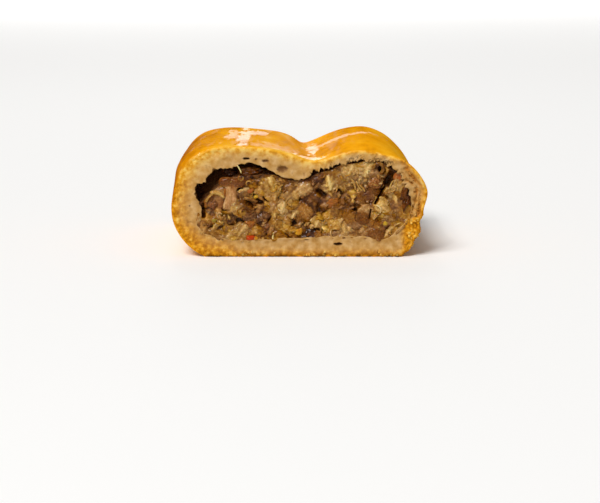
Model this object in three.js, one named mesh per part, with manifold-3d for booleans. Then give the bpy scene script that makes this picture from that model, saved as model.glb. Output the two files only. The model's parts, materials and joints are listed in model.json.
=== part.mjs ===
// A cut length of savoury strudel: one baked dough wrap round a mushroom and cabbage filling.
// Millimetres, +Z up. X runs across the log and Y along it, and the knife cuts face -Y and +Y.
// The origin lies on the resting plane, under the middle of the log.
import * as THREE from "three";
import { ImprovedNoise } from "three/addons/math/ImprovedNoise.js";
import { mergeVertices } from "three/addons/utils/BufferGeometryUtils.js";
import Module from "manifold-3d";

const wasm = await Module();
wasm.setup();

// Driving dimensions of the log
const LENGTH = 84; // from cut to cut
const WIDTH = 112; // of a cut face
const HEIGHT = 49; // of a cut face, at its higher lobe
const SWELL_REACH = 18; // how far behind a cut the crust reaches its full girth
const BACK_DRAW = 0.15; // share of the swell that is lost again at the back cut
const CREASE_ACROSS = 5.5; // where the crease along the top meets the front cut
const CREASE_DRIFT = -4; // how far it wanders across, from front to back
const CREASE_HALF_WIDTH = 11;
const CREASE_SINK = 1.5; // how much deeper it is at the back

// Relief of the dough
const SKIN_WAVE = 0.5; // height and length of the waves in the baked skin
const SKIN_WAVE_LENGTH = 24;
const SKIN_WAVE_FLOOR = 5; // below this the skin has no waves
const BASE_FLAT = 0.4; // skin lower than this is the base
const BASE_ARCH = 0.06; // the base lies flat but for this rise between its edges
const BASE_MIDDLE = 2.1; // across, and half the width between those edges
const BASE_HALF = 39.5;
const CRAG = 1.7; // height and length of the crumbs on the torn lower right flank
const CRAG_LENGTH = 3.7;
const CRAG_ACROSS = 46; // the torn flank lies further out and lower than these
const CRAG_UP = 18;
const TEAR = 0.9; // unevenness of the wrap's inner face
const TEAR_LENGTH = 6;

// Relief and place of the filling
const CLEARANCE = 0.35; // between filling and dough
const CORE_INSET = 0.8; // how far the filling's core stays inside the dough
const FACE_RECESS = 2.6; // how far the filling's core stays behind a cut
const FACE_RELIEF = 1.1; // bumps on the core's faces
const FACE_BUMP = 7; // their size
const PROUD = 1.2; // how far a piece may stand out of a cut
const POCKET_REACH = 26; // how far the air gap over the filling runs in from a cut
const POCKET_RISE = 17; // how much higher the filling lies past the gap, up to the roof

// Mesh steps
const AROUND = 68;
const CORE_AROUND = 44;
const SKIN_STEPS = 17;
const BORE_STEPS = 10;
const WALL_STEPS = 3;
const FACE_STEPS = 4;

const FRONT = -LENGTH / 2;
const MIDDLE = new THREE.Vector2(0, 0.45 * HEIGHT); // about which a section swells

// The wrap's outside at a cut, from the middle of the base round by the left.
// Rows are the place across in widths, the place up in heights, and how far out it swells behind the cut.
const SKIN_OUTLINE = [
  [0, 0, 0], // flat base
  [-0.2, 0, 0],
  [-0.37, 0.006, 0],
  [-0.44, 0.108, 0.5], // lower left corner
  [-0.49, 0.29, 0.4],
  [-0.5, 0.46, 0.3],
  [-0.483, 0.63, 1.6], // left flank and shoulder
  [-0.46, 0.78, 2.6],
  [-0.402, 0.915, 2.2],
  [-0.324, 0.982, 0.3],
  [-0.2, 0.99, -0.9], // left lobe
  [-0.093, 0.96, -0.6],
  [0, 0.898, 0],
  [0.049, 0.868, 0], // crease
  [0.093, 0.88, 0.4],
  [0.178, 0.94, 2.6],
  [0.25, 0.951, 3.8], // right lobe
  [0.324, 0.922, 2.6],
  [0.405, 0.866, -1.2],
  [0.464, 0.747, -2.6], // right shoulder
  [0.497, 0.586, -2.4],
  [0.483, 0.433, -1.5],
  [0.478, 0.366, -0.8], // lip of the upper dough over the torn flank
  [0.462, 0.31, 0.3],
  [0.462, 0.216, 0.4],
  [0.43, 0.09, 0.3],
  [0.395, 0.004, 0],
  [0.2, 0, 0],
];

// The wrap's inside, round the same way.
const BORE_OUTLINE = [
  [0, 0.171], // floor
  [-0.148, 0.159],
  [-0.32, 0.171],
  [-0.393, 0.253],
  [-0.39, 0.42], // left wall
  [-0.407, 0.578],
  [-0.4, 0.65],
  [-0.348, 0.747],
  [-0.27, 0.818], // roof of the left lobe
  [-0.2, 0.845],
  [-0.116, 0.782],
  [-0.066, 0.72],
  [0, 0.7], // thick dough under the crease
  [0.032, 0.715],
  [0.045, 0.773],
  [0.096, 0.79],
  [0.181, 0.857],
  [0.286, 0.871], // roof of the right lobe
  [0.36, 0.808],
  [0.41, 0.665],
  [0.431, 0.45], // right wall
  [0.408, 0.308],
  [0.335, 0.171],
  [0.218, 0.19],
  [0.1, 0.18],
];

// The top of the filling at a cut, under the roof: place across in widths, place up in heights.
const FILLING_TOP = [
  [-0.42, 0.4],
  [-0.33, 0.6],
  [-0.26, 0.76],
  [-0.1, 0.72],
  [0.02, 0.66],
  [0.12, 0.76],
  [0.26, 0.82],
  [0.36, 0.74],
  [0.44, 0.62],
];

const perlin = new ImprovedNoise();

function noise(x, y, z, size) {
  return perlin.noise(x / size + 0.37, y / size + 0.71, z / size + 0.13);
}

function between(low, high) {
  return low + (high - low) * THREE.MathUtils.seededRandom();
}

function closedCurve(outline) {
  const points = outline.map(([x, z, swell = 0]) => new THREE.Vector3(x * WIDTH, z * HEIGHT, swell));
  return new THREE.CatmullRomCurve3(points, true, "centripetal");
}

const skinCurve = closedCurve(SKIN_OUTLINE);
const boreCurve = closedCurve(BORE_OUTLINE);
const topCurve = new THREE.SplineCurve(FILLING_TOP.map(([x, z]) => new THREE.Vector2(x * WIDTH, z * HEIGHT)));

// The share of the swell at a place along the log: none at the front cut, and a little less at the back one.
function girth(y) {
  const rounded = (distance) => Math.sin((Math.PI / 2) * Math.min(distance / SWELL_REACH, 1));
  return rounded(y - FRONT) * (1 - BACK_DRAW * (1 - rounded(-FRONT - y)));
}

// Height of the base at a place across: it bears on its two long edges.
function baseUp(x) {
  return BASE_ARCH * Math.max(0, 1 - ((x - BASE_MIDDLE) / BASE_HALF) ** 2);
}

// A point of the baked skin, at a share of the way round and a place along.
function skinPoint(around, y) {
  const p = skinCurve.getPointAt(around);
  const outward = new THREE.Vector2(p.x, p.y).sub(MIDDLE).normalize();
  const along = (y - FRONT) / LENGTH;
  const wave = SKIN_WAVE * noise(p.x, y, p.y, SKIN_WAVE_LENGTH) * girth(y);
  const torn = p.x > CRAG_ACROSS && p.y < CRAG_UP;
  const crag = torn ? CRAG * noise(p.x, y, p.y, CRAG_LENGTH) : 0;
  const grown = p.z * girth(y) + (p.y > SKIN_WAVE_FLOOR ? wave : 0) + crag;
  const nearCrease = p.y > MIDDLE.y ? Math.exp(-(((p.x - CREASE_ACROSS) / CREASE_HALF_WIDTH) ** 2)) : 0;
  const x = p.x + outward.x * grown + CREASE_DRIFT * along * nearCrease;
  const z = p.y + outward.y * grown - CREASE_SINK * along * nearCrease ** 4;
  return new THREE.Vector3(x, y, z < BASE_FLAT ? baseUp(x) : z);
}

// A point of the wrap's inner face, or of the same face drawn in by an inset.
function borePoint(around, y, inset = 0) {
  const p = boreCurve.getPointAt(around);
  const tangent = boreCurve.getTangentAt(around);
  const tear = TEAR * noise(p.x, y, p.y, TEAR_LENGTH) - inset;
  return new THREE.Vector3(p.x - tangent.y * tear, y, p.y + tangent.x * tear);
}

// Joins rings that have equally many points. A looped loft returns to its first ring, as a tube's wall does.
// Any other has its two ends closed by fans round their centres.
function loft(rings, looped) {
  const count = rings[0].length;
  const points = rings.flat();
  const faces = [];
  const last = looped ? rings.length : rings.length - 1;
  for (let j = 0; j < last; j++) {
    const here = j * count;
    const next = ((j + 1) % rings.length) * count;
    for (let i = 0; i < count; i++) {
      const k = (i + 1) % count;
      faces.push(here + i, here + k, next + i, here + k, next + k, next + i);
    }
  }
  if (!looped) {
    for (const [ring, turned] of [[0, false], [rings.length - 1, true]]) {
      const centre = points.length;
      const sum = rings[ring].reduce((total, p) => total.add(p), new THREE.Vector3());
      points.push(sum.divideScalar(count));
      for (let i = 0; i < count; i++) {
        const a = ring * count + i;
        const b = ring * count + ((i + 1) % count);
        faces.push(centre, turned ? a : b, turned ? b : a);
      }
    }
  }
  return new THREE.BufferGeometry().setFromPoints(points).setIndex(faces);
}

// A closed geometry as a solid that can be joined and cut.
function solid(geometry) {
  const bare = geometry.clone();
  bare.deleteAttribute("normal");
  bare.deleteAttribute("uv");
  const merged = mergeVertices(bare, 1e-4);
  return new wasm.Manifold(
    new wasm.Mesh({
      numProp: 3,
      vertProperties: merged.getAttribute("position").array,
      triVerts: new Uint32Array(merged.index.array),
    }),
  );
}

function geometryOf(body) {
  const { vertProperties, triVerts } = body.getMesh();
  const geometry = new THREE.BufferGeometry();
  geometry.setAttribute("position", new THREE.BufferAttribute(vertProperties, 3));
  geometry.setIndex(new THREE.BufferAttribute(triVerts, 1));
  geometry.computeVertexNormals();
  return geometry;
}

function ringOf(pointAt, count = AROUND) {
  return Array.from({ length: count }, (_, i) => pointAt(i / count));
}

// A share from 0 to 1 that lingers at both ends, so that rings lie closer at the cuts.
function lingering(share) {
  return (1 - Math.cos(Math.PI * share)) / 2;
}

// The dough wrap: the skin from front to back, the back cut, the bore from back to front, and the front cut.
function doughWrap() {
  const rings = [];
  for (let j = 0; j <= SKIN_STEPS; j++) {
    const y = FRONT + LENGTH * lingering(j / SKIN_STEPS);
    rings.push(ringOf((around) => skinPoint(around, y)));
  }
  const wall = (y, share) => ringOf((around) => skinPoint(around, y).lerp(borePoint(around, y), share));
  for (let j = 1; j < WALL_STEPS; j++) rings.push(wall(-FRONT, j / WALL_STEPS));
  for (let j = 0; j <= BORE_STEPS; j++) {
    const y = -FRONT - LENGTH * (j / BORE_STEPS);
    rings.push(ringOf((around) => borePoint(around, y)));
  }
  for (let j = WALL_STEPS - 1; j > 0; j--) rings.push(wall(FRONT, j / WALL_STEPS));
  return solid(loft(rings, true));
}

// Air holes that the knife opened in the dough, as flat ellipsoids: across, up, width and height.
const AIR_HOLES = [
  [-23.3, 43.2, 3, 1.3],
  [-15, 42.3, 3.4, 1.5],
  [-7.4, 38.2, 3.6, 3],
  [16.6, 5.7, 3.6, 1.5],
  [-50.2, 27.5, 1.6, 1.6],
];
const AIR_HOLE_DEPTH = 4;

function airHole([across, up, width, height], y) {
  const ball = new THREE.IcosahedronGeometry(0.5, 1);
  ball.scale(width, AIR_HOLE_DEPTH, height);
  ball.translate(across, y, up);
  return solid(ball);
}

// The highest the filling reaches at a place: its own top near a cut, and up to the roof further in.
function fillingTop(x, y) {
  const first = FILLING_TOP[0][0] * WIDTH;
  const span = FILLING_TOP.at(-1)[0] * WIDTH - first;
  const share = THREE.MathUtils.clamp((x - first) / span, 0, 1);
  const behind = LENGTH / 2 - Math.abs(y);
  const rise = POCKET_RISE * THREE.MathUtils.smoothstep(behind, 0, POCKET_REACH);
  return topCurve.getPoint(share).y + rise + noise(x, y, 0, FACE_BUMP);
}

// The filling's core: a bumpy plug that keeps clear of the dough all round.
function fillingCore() {
  const first = FRONT + FACE_RECESS;
  const body = (around, y) => {
    const p = borePoint(around, y, CORE_INSET);
    p.z = Math.min(p.z, fillingTop(p.x, y));
    return p;
  };
  const centre = new THREE.Vector3(0, 0, MIDDLE.y);
  const face = (y, share) =>
    ringOf((around) => {
      const p = body(around, y).lerp(centre.clone().setY(y), 1 - share);
      p.y += FACE_RELIEF * noise(p.x, y, p.z, FACE_BUMP) * (1 - share ** 4);
      return p;
    }, CORE_AROUND);
  const rings = [];
  for (let j = 1; j < FACE_STEPS; j++) rings.push(face(first, j / FACE_STEPS));
  for (let j = 0; j <= BORE_STEPS; j++) {
    const y = first - 2 * first * lingering(j / BORE_STEPS);
    rings.push(ringOf((around) => body(around, y), CORE_AROUND));
  }
  for (let j = FACE_STEPS - 1; j > 0; j--) rings.push(face(-first, j / FACE_STEPS));
  return solid(loft(rings, false));
}

// The space that filling may take: the bore drawn in, and carried on a little past both cuts.
function fillingRoom() {
  const ring = (y) => ringOf((around) => borePoint(around, y, CLEARANCE));
  const rings = [];
  for (let j = 0; j <= BORE_STEPS; j++) rings.push(ring(FRONT + LENGTH * (j / BORE_STEPS)));
  rings.unshift(ring(FRONT).map((p) => p.setY(FRONT - PROUD)));
  rings.push(ring(-FRONT).map((p) => p.setY(PROUD - FRONT)));
  return solid(loft(rings, false));
}

// Pieces of the filling lie with their broad side to a cut. Each is made on the core's face at the origin,
// with its foot in the core, and stands out along -Y.
const MUSHROOM_THICK = 4;
const LEAF_THICK = 2.6;
const LEAF_SIDES = 7;
const SHRED_WIDE = 1.5;
const PIECE_LEAN = 0.22; // most that a piece leans out of the cut's plane, in radians
const PIECE_SHIFT = 0.5; // most that it is set in or out

// A slice of mushroom: a domed cap on a stem that widens at its foot.
function mushroomSlice(size) {
  const cap = size / 2;
  const stem = 0.2 * size;
  const outline = new THREE.Shape();
  outline.moveTo(-cap, 0);
  outline.bezierCurveTo(-cap, 0.75 * cap, cap, 0.75 * cap, cap, 0);
  outline.quadraticCurveTo(0.7 * cap, -0.3 * cap, stem, -0.1 * cap);
  outline.lineTo(0.9 * stem, -1.3 * cap);
  outline.lineTo(-1.2 * stem, -1.4 * cap);
  outline.lineTo(-stem, -0.1 * cap);
  outline.quadraticCurveTo(-0.7 * cap, -0.3 * cap, -cap, 0);
  const look = { depth: MUSHROOM_THICK, bevelEnabled: false, curveSegments: 4 };
  const slice = new THREE.ExtrudeGeometry(outline, look);
  return slice.translate(0, 0.3 * cap, -0.25 * MUSHROOM_THICK).rotateX(Math.PI / 2);
}

// A chunk of mushroom or stewed vegetable: a rounded lump.
function lump(size) {
  return new THREE.DodecahedronGeometry(size / 2).scale(1, 0.7, 0.72).translate(0, -0.12 * size, 0);
}

// A scrap of cabbage leaf: a wavy plate with a ragged edge.
function leaf(size) {
  const plate = new THREE.CylinderGeometry(size / 2, size / 2, LEAF_THICK, LEAF_SIDES);
  plate.scale(1, 1, 0.7).translate(0, -0.2 * LEAF_THICK, 0);
  const place = plate.getAttribute("position");
  for (let i = 0; i < place.count; i++) {
    const [x, z] = [place.getX(i), place.getZ(i)];
    const ragged = 1 + 0.2 * Math.cos(3 * Math.atan2(z, x));
    const bend = Math.cos((3 * x) / size) + 0.6 * Math.sin((5 * z) / size);
    place.setXYZ(i, x * ragged, place.getY(i) - 0.16 * size * bend, z * ragged);
  }
  return plate;
}

// A shred of cabbage or onion: a thin bent strip.
function shred(size) {
  const strip = new THREE.BoxGeometry(1.3 * size, LEAF_THICK, SHRED_WIDE, 3, 1, 1);
  strip.translate(0, -0.3 * LEAF_THICK, 0);
  const place = strip.getAttribute("position");
  for (let i = 0; i < place.count; i++) {
    place.setZ(i, place.getZ(i) + 0.22 * size * Math.cos((2.6 * place.getX(i)) / size));
  }
  return strip;
}

// A bit of carrot: a small cube.
function dice(size) {
  return new THREE.BoxGeometry(size, size, 0.7 * size).translate(0, -0.3 * size, 0);
}

// What shows plainly on the front cut: kind, across, up, size and turn in degrees.
const SHOWN = [
  [mushroomSlice, -29.5, 27.5, 13, 8],
  [lump, -37, 23.5, 9, 20],
  [lump, -23.5, 32.5, 9, -5],
  [leaf, 22.5, 35.5, 15, 0],
  [mushroomSlice, 31.5, 13, 13, 180],
  [lump, 4.5, 10.5, 8, 0],
  [lump, 14.5, 23.5, 9, 0],
  [lump, 7.5, 23, 9, 80],
  [leaf, -12.5, 31, 12, -20],
  [leaf, 40, 29.5, 11, 70],
  [lump, 35.5, 35, 8, 60],
  [lump, -20, 21, 11, 10],
  [lump, -14.5, 12.5, 8, 35],
  [leaf, 17, 17, 13, 10],
  [leaf, -31, 14.5, 10, 25],
  [dice, -21.4, 9.6, 4.5, 15],
  [dice, -0.5, 13, 3.6, -20],
];

// Fill between them: kinds from the largest to the smallest, drawn in turn on an uneven grid.
const FILL = [leaf, lump, shred, leaf, lump, shred, dice];
const FILL_SIZE = { leaf: [7, 10], lump: [5, 7.5], shred: [6, 9], dice: [2.4, 3.6] };
const FILL_LEFT = -0.38 * WIDTH; // the grid's corner and extent
const FILL_FLOOR = 0.23 * HEIGHT;
const FILL_WIDE = 0.79 * WIDTH;
const FILL_HIGH = 0.57 * HEIGHT;
const FILL_COLUMNS = 12;
const FILL_ROWS = 4;
const FILL_SPACING = 5.6; // nearest that a filler comes to a shown piece
const SEEDS = { front: 11, back: 29 };

function fillers(shown) {
  const rows = [];
  const column = FILL_WIDE / FILL_COLUMNS;
  const row = FILL_HIGH / FILL_ROWS;
  for (let i = 0; i < FILL_COLUMNS; i++) {
    for (let j = 0; j < FILL_ROWS; j++) {
      const kind = FILL[Math.floor(between(0, FILL.length))];
      const size = between(...FILL_SIZE[kind.name]);
      const x = FILL_LEFT + column * (i + between(0.2, 0.8));
      const z = FILL_FLOOR + row * (j + between(0.2, 0.8));
      const turn = between(-90, 90);
      const under = z + 0.2 * size < fillingTop(x, FRONT);
      const free = shown.every(([, px, pz]) => Math.hypot(x - px, z - pz) > FILL_SPACING);
      if (under && free) rows.push([kind, x, z, size, turn]);
    }
  }
  return rows;
}

// Sets the pieces of one cut in place. The back cut sees the same grid the other way round.
function facePieces(pieces, back) {
  return pieces.map(([kind, x, z, size, turn]) => {
    const depth = FRONT + FACE_RECESS + between(-PIECE_SHIFT, PIECE_SHIFT);
    const piece = kind(size).rotateY(THREE.MathUtils.degToRad(-turn));
    piece.rotateX(between(-PIECE_LEAN, PIECE_LEAN)).translate(x, depth, z);
    if (back) piece.rotateZ(Math.PI);
    return solid(piece);
  });
}

function filling() {
  THREE.MathUtils.seededRandom(SEEDS.front);
  const front = facePieces([...SHOWN, ...fillers(SHOWN)], false);
  THREE.MathUtils.seededRandom(SEEDS.back);
  const back = facePieces(fillers([]), true);
  const heap = [...front, ...back].reduce((body, piece) => body.add(piece), fillingCore());
  const kept = heap.intersect(fillingRoom()).decompose();
  return kept.reduce((largest, body) => (body.volume() > largest.volume() ? body : largest));
}

function named(name, body, look) {
  const mesh = new THREE.Mesh(geometryOf(body), new THREE.MeshStandardMaterial(look));
  mesh.name = name;
  return mesh;
}

const holes = AIR_HOLES.map((hole) => airHole(hole, FRONT));
const wrap = holes.reduce((body, hole) => body.subtract(hole), doughWrap());

const strudel = new THREE.Group();
strudel.add(named("dough_wrap", wrap, { color: 0xe0a040, roughness: 0.45, metalness: 0 }));
strudel.add(named("filling", filling(), { color: 0x9a7746, roughness: 0.4, metalness: 0 }));

export default strudel;
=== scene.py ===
# A cut length of savoury strudel: a glazed dough wrap, torn and crumbly where the knife went through,
# round a moist filling of cabbage, mushroom and carrot. Blender works in metres. The shapes here are
# worked out in millimetres: across the log (X), along it (Y, from the front cut to the back) and up (Z).
import json
import math

import bpy
import numpy as np
from mathutils import Euler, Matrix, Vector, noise

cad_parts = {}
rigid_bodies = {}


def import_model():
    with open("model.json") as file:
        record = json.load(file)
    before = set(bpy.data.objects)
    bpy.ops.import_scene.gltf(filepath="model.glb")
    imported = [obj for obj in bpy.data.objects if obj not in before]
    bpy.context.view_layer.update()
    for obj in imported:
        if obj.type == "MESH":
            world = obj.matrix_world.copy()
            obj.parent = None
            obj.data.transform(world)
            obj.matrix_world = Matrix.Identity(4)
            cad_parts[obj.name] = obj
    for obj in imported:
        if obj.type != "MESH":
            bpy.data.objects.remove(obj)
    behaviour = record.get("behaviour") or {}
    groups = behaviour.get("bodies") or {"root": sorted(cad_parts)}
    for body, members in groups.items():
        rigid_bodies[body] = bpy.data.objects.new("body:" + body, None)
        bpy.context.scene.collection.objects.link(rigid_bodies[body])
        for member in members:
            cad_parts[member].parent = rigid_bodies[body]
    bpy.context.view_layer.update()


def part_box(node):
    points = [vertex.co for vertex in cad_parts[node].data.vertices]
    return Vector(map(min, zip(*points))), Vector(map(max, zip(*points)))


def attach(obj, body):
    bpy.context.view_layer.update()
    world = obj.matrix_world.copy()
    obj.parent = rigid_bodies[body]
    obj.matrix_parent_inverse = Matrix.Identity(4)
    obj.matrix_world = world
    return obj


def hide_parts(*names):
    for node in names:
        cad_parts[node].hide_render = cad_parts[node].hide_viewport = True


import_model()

# The viewpoint: straight before the front cut with a long lens, a little higher than the log, so that
# the whole cut shows and the glazed top is a narrow strip above it.
MM = 0.001
wrap_low, wrap_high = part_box("dough_wrap")
camera_distance = 688 * MM  # from the front cut
camera_height = 127 * MM
camera_lens = 96  # millimetres, as is the width of the sensor
camera_sensor = 36
camera_down = 10.262  # degrees below level

camera = bpy.data.objects.new("camera", bpy.data.cameras.new("camera"))
camera.data.sensor_width = camera_sensor
camera.data.lens = camera_lens
camera.location = (0, wrap_low.y - camera_distance, camera_height)
camera.rotation_euler = (math.radians(90 - camera_down), 0, 0)
bpy.context.scene.collection.objects.link(camera)
bpy.context.scene.camera = camera

# The dough wrap: yeast dough rolled round the filling, creased along its top, brushed with egg and baked
# golden. The knife leaves a grainy golden rim, pale crumb, air holes and a ragged inner edge, and the
# seam on the right side gapes in layers over a torn, crumbly flank.
front = wrap_low.y / MM
back = wrap_high.y / MM
length = back - front
section_size = np.array([112, 49, 1])  # width and height of a cut, and a unit for the swell
section_middle = np.array([0, 0.45 * section_size[1]])
swell_reach = 18  # behind a cut, to the full girth
back_draw = 0.15  # share of the swell lost again at the back cut
crease_across = 5.5
crease_drift = -4  # across, from front to back
crease_half_width = 11
crease_sink = 1.5
rim_round = 1.1  # radius of the edge between skin and cut
base_flat = 0.4  # skin lower than this is the flat base
skin_waves = 0.5  # height of the skin's long low waves
skin_dimples = 0.05
torn_top = 17.5  # height of the torn flank's upper border at the front cut
torn_wander = 7  # how far that border rises and falls along the log
torn_from, torn_to = 43, 46.5  # across, where the torn flank begins
torn_tint = 0.1  # share of the seam's colour on it
tear_reach = 5  # behind a cut, to where the inner face is whole
rim_width = 2.6  # of the grainy band inside the skin at a cut
rim_wider = 1.6  # and how much wider it is on the left
crust_width = 2.8  # of the golden band there
seam_depth = 1.8
soak_width = 2.6  # of the band of crumb that the filling's juice stains
soak_share = 0.4
around_steps = 600
skin_steps = 52
rim_steps = 5
wall_steps = 24
bore_steps = 22

# Place across in widths, place up in heights, and how far out the skin swells behind the cut
skin_rows = [
    (0, 0, 0),
    (-0.2, 0, 0),
    (-0.37, 0.006, 0),
    (-0.44, 0.108, 0.5),  # lower left corner
    (-0.49, 0.29, 0.4),
    (-0.5, 0.46, 0.3),
    (-0.483, 0.63, 1.6),  # left flank and shoulder
    (-0.46, 0.78, 2.6),
    (-0.402, 0.915, 2.2),
    (-0.324, 0.982, 0.3),
    (-0.2, 0.99, -0.9),  # left lobe
    (-0.093, 0.96, -0.6),
    (0, 0.898, 0),
    (0.049, 0.868, 0),  # crease
    (0.093, 0.88, 0.4),
    (0.178, 0.94, 2.6),
    (0.25, 0.951, 3.8),  # right lobe
    (0.324, 0.922, 2.6),
    (0.405, 0.866, -1.2),
    (0.464, 0.747, -2.6),  # right shoulder
    (0.497, 0.586, -2.4),
    (0.483, 0.433, -1.5),
    (0.478, 0.366, -0.8),  # lip of the upper dough over the torn flank
    (0.462, 0.31, 0.3),
    (0.462, 0.216, 0.4),
    (0.43, 0.09, 0.3),
    (0.395, 0.004, 0),
    (0.2, 0, 0),
]
# The inner edge of the dough, in the same way
bore_rows = [
    (0, 0.171),  # floor
    (-0.148, 0.159),
    (-0.32, 0.171),
    (-0.393, 0.253),
    (-0.39, 0.42),  # left wall
    (-0.407, 0.578),
    (-0.4, 0.65),
    (-0.348, 0.747),
    (-0.27, 0.818),  # roof of the left lobe
    (-0.2, 0.845),
    (-0.116, 0.782),
    (-0.066, 0.72),
    (0, 0.7),  # thick dough under the crease
    (0.032, 0.715),
    (0.045, 0.773),
    (0.096, 0.79),
    (0.181, 0.857),
    (0.286, 0.871),  # roof of the right lobe
    (0.36, 0.808),
    (0.41, 0.665),
    (0.431, 0.45),  # right wall
    (0.408, 0.308),
    (0.335, 0.171),
    (0.218, 0.19),
    (0.1, 0.18),
]

# Air holes opened by the knife: across, up, width, height, depth
front_holes = [
    (-23.3, 43.2, 3, 1, 2.4),
    (-15, 42.2, 3.2, 1.3, 1.2),
    (-7.6, 38.6, 5, 3, 1.2),
    (16.6, 5.7, 3.8, 1.2, 2.4),
    (-19, 43, 1, 0.7, 1),
    (-48, 22.5, 0.9, 0.8, 0.8),
]
back_holes = [
    (-28, 43.4, 3.2, 1.4, 2.4),
    (20, 44.1, 2.4, 1, 2),
    (-20, 4.6, 3.4, 1.4, 2.4),
    (50, 26, 1.4, 1.8, 1.5),
    (2, 39, 3.2, 2, 0.8),
    (30, 5, 1.6, 1, 1.2),
]


def smooth_loop(rows, count):
    """Evenly spaced points on a smooth closed curve through the rows."""
    points = np.array(rows, float)
    before, start, end, after = (np.roll(points, shift, axis=0) for shift in (1, 0, -1, -2))
    step0, step1, step2 = (
        np.sqrt(np.linalg.norm(b - a, axis=1, keepdims=True))
        for a, b in ((before, start), (start, end), (end, after))
    )
    leave = step1 * ((start - before) / step0 - (end - before) / (step0 + step1) + (end - start) / step1)
    arrive = step1 * ((end - start) / step1 - (after - start) / (step1 + step2) + (after - end) / step2)
    t = np.linspace(0, 1, 80, endpoint=False)[None, :, None]
    fine = (
        (2 * t**3 - 3 * t**2 + 1) * start[:, None]
        + (t**3 - 2 * t**2 + t) * leave[:, None]
        + (3 * t**2 - 2 * t**3) * end[:, None]
        + (t**3 - t**2) * arrive[:, None]
    ).reshape(-1, points.shape[1])
    closed = np.vstack([fine, fine[:1]])
    run = np.concatenate([[0], np.cumsum(np.linalg.norm(np.diff(closed, axis=0), axis=1))])
    even = np.arange(count) / count * run[-1]
    return np.stack([np.interp(even, run, closed[:, k]) for k in range(points.shape[1])], axis=1)


def bumps(points, size, seed=0.0):
    """Smooth noise from about -1 to 1, with bumps of this size in millimetres."""
    return np.array([noise.noise(place) for place in (points / size + seed + 0.37).tolist()])


def grains(points, size, seed=0.0):
    """Round-topped grains of this size in millimetres: 1 at a grain's middle, down to 0 between grains."""
    nearest = np.array([noise.voronoi(place)[0][0] for place in (points / size + seed).tolist()])
    return np.clip(1 - nearest * 1.25, 0, 1)


def ease(values, low, high):
    """0 at low, 1 at high, and smooth between them. High may be the smaller."""
    share = np.clip((np.asarray(values, float) - low) / (high - low), 0, 1)
    return share * share * (3 - 2 * share)


def lingering(count):
    """Shares from 0 to 1 that lie closer together at both ends."""
    return (1 - np.cos(np.pi * np.linspace(0, 1, count))) / 2


skin_section = smooth_loop(np.array(skin_rows) * section_size, around_steps)
bore_section = smooth_loop(np.array(bore_rows) * section_size[:2], around_steps)


def rounded(distance):
    """How far the swell has come at a distance behind a cut."""
    return math.sin(math.pi / 2 * min(distance / swell_reach, 1))


def upright(flat, y):
    """Points across and up as points across, along and up, at one place along the log."""
    return np.column_stack([flat[:, 0], np.full(len(flat), y), flat[:, 1]])


def torn_flank(points):
    """How far a point belongs to the torn lower right flank, from 0 to 1."""
    wander = torn_wander * bumps(points * [0, 1, 0], 11, 2.7) * ease(points[:, 1], front, front + 12)
    border = torn_top + wander + 2 * bumps(points, 3.5, 4.1)
    return ease(points[:, 0], torn_from, torn_to) * ease(points[:, 2] - border, 1.2, -1.2)


def skin_ring(y):
    """The baked skin's outline at a place along the log."""
    flat, swell = skin_section[:, :2], skin_section[:, 2]
    outward = flat - section_middle
    outward /= np.linalg.norm(outward, axis=1, keepdims=True)
    ring = upright(flat, y)
    girth = rounded(y - front) * (1 - back_draw * (1 - rounded(back - y)))
    lifted = ease(flat[:, 1], 3, 12)
    grown = girth * (swell + skin_waves * lifted * bumps(ring, 24)) + skin_dimples * lifted * bumps(ring, 7)
    grown += torn_flank(ring) * (1.0 * bumps(ring, 3.7) + 0.9 * bumps(ring, 1.6) + 0.1)
    near_crease = np.exp(-(((flat[:, 0] - crease_across) / crease_half_width) ** 2))
    near_crease *= flat[:, 1] > section_middle[1]
    along = (y - front) / length
    ring[:, 0] += outward[:, 0] * grown + crease_drift * along * near_crease
    ring[:, 2] += outward[:, 1] * grown - crease_sink * along * near_crease**4
    ring[ring[:, 2] < base_flat, 2] = 0
    return ring


def sideways(ring):
    """Unit vectors out of a closed ring, in its own plane."""
    tangent = np.roll(ring, -3, axis=0) - np.roll(ring, 3, axis=0)
    out = np.column_stack([-tangent[:, 2], np.zeros(len(ring)), tangent[:, 0]])
    return out / np.maximum(np.linalg.norm(out, axis=1, keepdims=True), 1e-9)


# Flaps and nicks in the inner edge at a cut: across, up, reach, and how far in the dough stands
flaps = [
    (-44.6, 27, 1, 0.8),
    (-43.8, 22, 1.4, 0.9),
    (-44.4, 17.5, 1, 0.9),
    (-41.2, 34.8, 3.4, 1.2),
    (-29.5, 40, 3.4, 0.9),
    (-36.4, 38.6, 1.8, -0.9),
    (5.2, 37, 1.6, 0.8),
]


def bore_ring(y):
    """The wrap's inner face at a place along the log, ragged where the knife tore it."""
    ring = upright(bore_section, y)
    near_cut = float(ease(min(y - front, back - y), tear_reach, 0))
    roof = ease(ring[:, 2], 24, 33)
    ragged = near_cut * (0.8 + 0.2 * roof) * (0.35 + 0.65 * ease(bumps(ring, 8, 5.7), -0.1, 0.4))
    ragged += near_cut * 0.7 * ease(ring[:, 0], -28, -38)
    tear = 0.5 * bumps(ring, 6) + ragged * (0.9 * bumps(ring, 2.8) + 0.8 * bumps(ring, 1.2))
    tear -= near_cut * roof * ease(ring[:, 0], 2, 6) * (3.2 * np.abs(bumps(ring, 1.1)) - 0.7)
    for flap_across, flap_up, reach, deep in flaps:
        away = (ring[:, 0] - flap_across) ** 2 + (ring[:, 2] - flap_up) ** 2
        tear -= near_cut * deep * np.exp(-away / reach**2)
    return ring + sideways(ring) * tear[:, None]


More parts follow.
